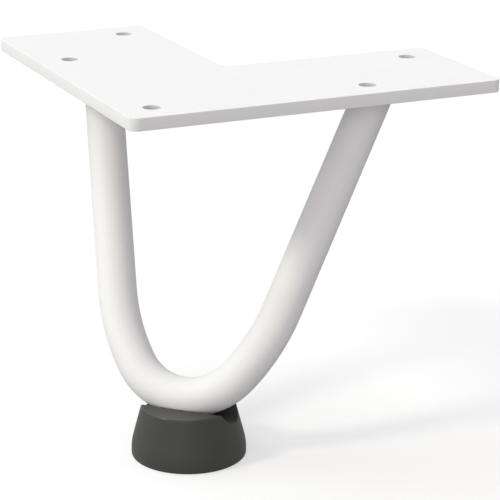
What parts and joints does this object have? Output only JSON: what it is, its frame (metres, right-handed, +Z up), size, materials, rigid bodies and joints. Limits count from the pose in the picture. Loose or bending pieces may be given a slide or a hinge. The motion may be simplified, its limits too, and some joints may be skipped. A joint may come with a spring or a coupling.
{
  "type": "hairpin table leg",
  "caption": "Short welded table leg: an L-shaped screw-on plate, a round rod bent into a leaning U under it, and a flared moulded foot on the bend.",
  "frame": {"origin": "centre of the corner screw hole on the plate's top face", "axes": "+Z up, out of the plate's top face towards the table top; +Y along the plate's diagonal from its outer corner to its notch; +X across, towards the right arm"},
  "size_m": [0.1742, 0.123, 0.119],
  "materials": {
    "frame_coat": "white powder coat, fine satin",
    "foot_rubber": "dark grey moulded rubber, smooth satin"
  },
  "bodies": {
    "root": {"mounting_plate": "frame_coat", "bent_rod": "frame_coat", "weld_left": "frame_coat", "weld_right": "frame_coat", "foot": "foot_rubber"}
  },
  "joints": []
}
